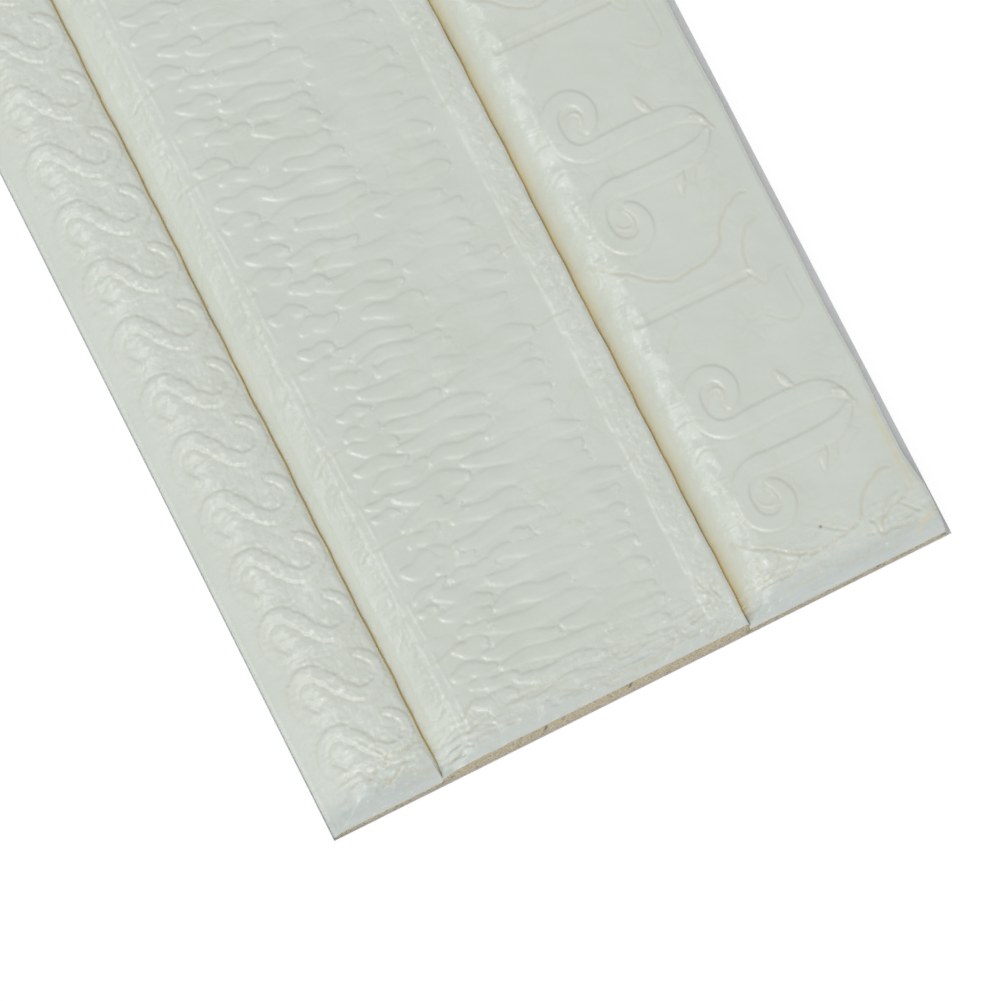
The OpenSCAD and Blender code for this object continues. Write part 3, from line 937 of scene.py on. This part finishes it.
def foam_skin():
    m, tree = material("foam_skin")
    where = node(tree, "ShaderNodeTexCoord").outputs["Object"]
    base = mixed(tree, noise(tree, where, 90, 2), SKIN_SHADE, SKIN)
    streaky = node(tree, "ShaderNodeMapping", {"Vector": where, "Scale": (1.0, 0.2, 1.0)}).outputs[0]
    uneven = math(tree, "MULTIPLY_ADD", noise(tree, streaky, 900, 3), 1.2, 0.2)
    # The pressed ends' greyer film and painted shade on the end slope.
    base = mixed(tree, math(tree, "MULTIPLY", share(tree, "pressed", 0.8), uneven), base, PRESSED_AND_SHADED)
    # Painted shade in the creases.
    base = mixed(tree, share(tree, "crease", 0.6), base, CREASE_PAINTED_SHADE)
    # Painted glints: pale flecks where the film puckers.
    painted_glints = math(tree, "MULTIPLY_ADD", noise(tree, where, 1300, 2), 6.0, -3.3)
    painted_glints = math(tree, "MINIMUM", math(tree, "MAXIMUM", painted_glints, 0.0), 1.0)
    base = mixed(tree, math(tree, "MULTIPLY", painted_glints, share(tree, "painted_glint", 0.9)), base, FLECK_PAINTED_GLINT)
    # Painted light on the groove walls.
    base = mixed(tree, value_of(tree, "wall"), base, WALL_PAINTED_LIGHT)
    # Painted warm bounce light and shade in the grooves.
    base = mixed(tree, value_of(tree, "groove"), base, GROOVE_PAINTED_BOUNCE)
    base = mixed(tree, share(tree, "stain", 0.7), base, STAIN)
    base = mixed(tree, share(tree, "speck", 0.9), base, SPECK)
    grain = noise(tree, where, 900, 4, 0.6)
    folds = math(tree, "ABSOLUTE", math(tree, "SUBTRACT", noise(tree, where, 420, 3), 0.5))
    folds = math(tree, "MINIMUM", math(tree, "MULTIPLY", folds, 12.0), 1.0)
    folds = math(tree, "MULTIPLY", folds, share(tree, "slack", 0.6))
    height = math(tree, "ADD", math(tree, "MULTIPLY", grain, 0.4), folds)
    puckered = bumped(tree, height, 0.4, 0.1 * MM)
    normal = bumped(tree, run_height(tree, where), 1.0, MM, {"Normal": puckered})
    surfaced(tree, base, SKIN_ROUGH, normal)
    return m


def foam_core():
    m, tree = material("foam_core")
    where = node(tree, "ShaderNodeTexCoord").outputs["Object"]
    cells = node(tree, "ShaderNodeTexVoronoi", {"Vector": where, "Scale": 3200.0}).outputs["Distance"]
    grain = noise(tree, where, 2200, 3)
    # Dark spots of painted shade in the cut foam's open cells.
    pit_shade = math(tree, "GREATER_THAN", noise(tree, where, 1300, 3), 0.63)
    base = mixed(tree, grain, CORE_DARK, CORE)
    base = mixed(tree, math(tree, "MULTIPLY", pit_shade, 0.7), base, CORE_PIT_SHADE)
    base = mixed(tree, share(tree, "speck", 0.9), base, SPECK)
    surfaced(tree, base, CORE_ROUGH, bumped(tree, cells, 0.8, 0.2 * MM))
    return m


def release_paper():
    m, tree = material("release_paper")
    where = node(tree, "ShaderNodeTexCoord").outputs["Object"]
    fibre = noise(tree, where, 700, 4)
    # Paper painted lighter than its own grey, against the foam's shadow.
    base = mixed(tree, fibre, PAPER_PAINTED_LIGHT, PAPER_FIBRE_PAINTED_LIGHT)
    surfaced(tree, base, PAPER_ROUGH, bumped(tree, fibre, 0.15, 0.05 * MM))
    return m


def floor_paper():
    """White for the camera, with a faint shadow; pale and plain for every other ray."""
    m, tree = material("floor_paper")
    path = node(tree, "ShaderNodeLightPath")
    shows = math(tree, "MAXIMUM", path.outputs["Is Camera Ray"], path.outputs["Is Glossy Ray"])
    lit = node(tree, "ShaderNodeBsdfDiffuse", {"Color": (0.8, 0.8, 0.8, 1)})
    bright = node(tree, "ShaderNodeBsdfDiffuse", {"Color": (1, 1, 1, 1)})
    glow = node(tree, "ShaderNodeEmission", {"Color": (1, 1, 1, 1), "Strength": 1.04})
    white = node(tree, "ShaderNodeMixShader", {0: 0.78, 1: bright.outputs[0], 2: glow.outputs[0]})
    both = node(tree, "ShaderNodeMixShader", {0: shows, 1: lit.outputs[0], 2: white.outputs[0]})
    node(tree, "ShaderNodeOutputMaterial", {"Surface": both.outputs[0]})
    return m


# Stage

# Each lamp: share of the light, towards it in plan, its height and its width in degrees
SUNS = {"studio_key": (0.24, (0.7, -0.71), 48, 70), "studio_spark": (0.1, (0.8, -0.6), 60, 12),
        "studio_side": (0.045, (-0.15, -0.99), 56, 26)}
FLOOR_REACH, FLOOR_DROP = 12.0, 0.0002


def lights():
    world = bpy.context.scene.world or bpy.data.worlds.new("studio")
    bpy.context.scene.world = world
    world.use_nodes = True
    tree = world.node_tree
    tree.nodes.clear()
    dome_share = 1 - sum(sun[0] for sun in SUNS.values())
    dome = node(tree, "ShaderNodeBackground", {"Color": (1, 1, 1, 1), "Strength": dome_share})
    seen_white = node(tree, "ShaderNodeBackground", {"Color": (1, 1, 1, 1), "Strength": 1.0})
    path = node(tree, "ShaderNodeLightPath")
    both = node(tree, "ShaderNodeMixShader", {0: path.outputs["Is Camera Ray"], 1: dome.outputs[0],
                                              2: seen_white.outputs[0]})
    node(tree, "ShaderNodeOutputWorld", {"Surface": both.outputs[0]})
    for name, (part, (x, y), up, width) in SUNS.items():
        up = np.radians(up)
        sun = bpy.data.lights.new(name, "SUN")
        sun.energy = part * np.pi / np.sin(up)
        sun.angle = np.radians(width)
        lamp = bpy.data.objects.new(name, sun)
        towards = Vector((x * np.cos(up), y * np.cos(up), np.sin(up)))
        lamp.rotation_euler = towards.to_track_quat("Z", "Y").to_euler()
        bpy.context.scene.collection.objects.link(lamp)


def floor():
    mesh = bpy.data.meshes.new("floor")
    corners = [(-1, -1), (1, -1), (1, 1), (-1, 1)]
    places = [(x * FLOOR_REACH, y * FLOOR_REACH, -FLOOR_DROP) for x, y in corners]
    mesh.from_pydata(places, [], [(0, 1, 2, 3)])
    plane = bpy.data.objects.new("floor", mesh)
    mesh.materials.append(floor_paper())
    bpy.context.scene.collection.objects.link(plane)


def camera():
    back = Vector((np.sin(VIEW_TILT), -np.sin(VIEW_LEAN) * np.cos(VIEW_TILT),
                   np.cos(VIEW_LEAN) * np.cos(VIEW_TILT)))
    up0 = (Vector((0, 1, 0)) - back * back.y).normalized()
    right0 = up0.cross(back)
    right = right0 * np.cos(VIEW_ROLL) + up0 * np.sin(VIEW_ROLL)
    up = up0 * np.cos(VIEW_ROLL) - right0 * np.sin(VIEW_ROLL)
    aim = Vector((LENGTH / 2 - AIM_D, AIM_Y, 0)) * MM
    data = bpy.data.cameras.new("camera")
    data.lens, data.sensor_width, data.sensor_fit = LENS, SENSOR, "HORIZONTAL"
    data.clip_start, data.clip_end = 0.01, 50
    view = bpy.data.objects.new("camera", data)
    turn = Matrix((right, up, back)).transposed().to_4x4()
    view.matrix_world = Matrix.Translation(aim + back * CAMERA_AWAY * MM) @ turn
    bpy.context.scene.collection.objects.link(view)
    bpy.context.scene.camera = view


# Pieces

def foam_pieces():
    """The skin in tiles, fine where the photograph looks and coarser along the rest, and both cuts."""
    made = []
    count = int(round(FINE_TO / FINE_TILES / FINE_ROW))
    for k in range(FINE_TILES):
        rows = np.linspace(k, k + 1, count + 1) * FINE_TO / FINE_TILES
        snap = (-1,) if k == FINE_TILES - 1 else ()
        made.append(skin_tile(f"foam_skin_shown_{k + 1}", rows, COLUMNS, snap))
    start, length = FINE_TO, (LENGTH - FINE_TO) / LONG_TILES
    for k in range(LONG_TILES):
        rows = np.linspace(start + k * length, start + (k + 1) * length, int(length / LONG_ROW) + 1)
        if k == LONG_TILES - 1:
            end_rows = LENGTH - FAR_PRESSED + np.linspace(0, FAR_PRESSED, FAR_ROWS)
            rows = np.concatenate([rows[rows < LENGTH - FAR_PRESSED], end_rows])
        made.append(skin_tile(f"foam_skin_run_{k + 1}", rows, COLUMNS[::COLUMN_STEP]))
    skin_material, core = foam_skin(), foam_core()
    for piece in made:
        piece.data.materials.append(skin_material)
    cuts = (("foam_cut_shown", True, COLUMNS), ("foam_cut_far", False, COLUMNS[::COLUMN_STEP]))
    for name, shown, columns in cuts:
        piece = cut_face(name, shown, columns)
        piece.data.materials.append(core)
        made.append(piece)
    return made


camera()
lights()
floor()
for piece in foam_pieces():
    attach(piece, "root")
    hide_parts("foam_trim")
paper = backing_sheet("release_sheet")
paper.data.materials.append(release_paper())
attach(paper, "root")
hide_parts("backing_sheet")

bpy.context.scene.view_settings.view_transform = "Standard"
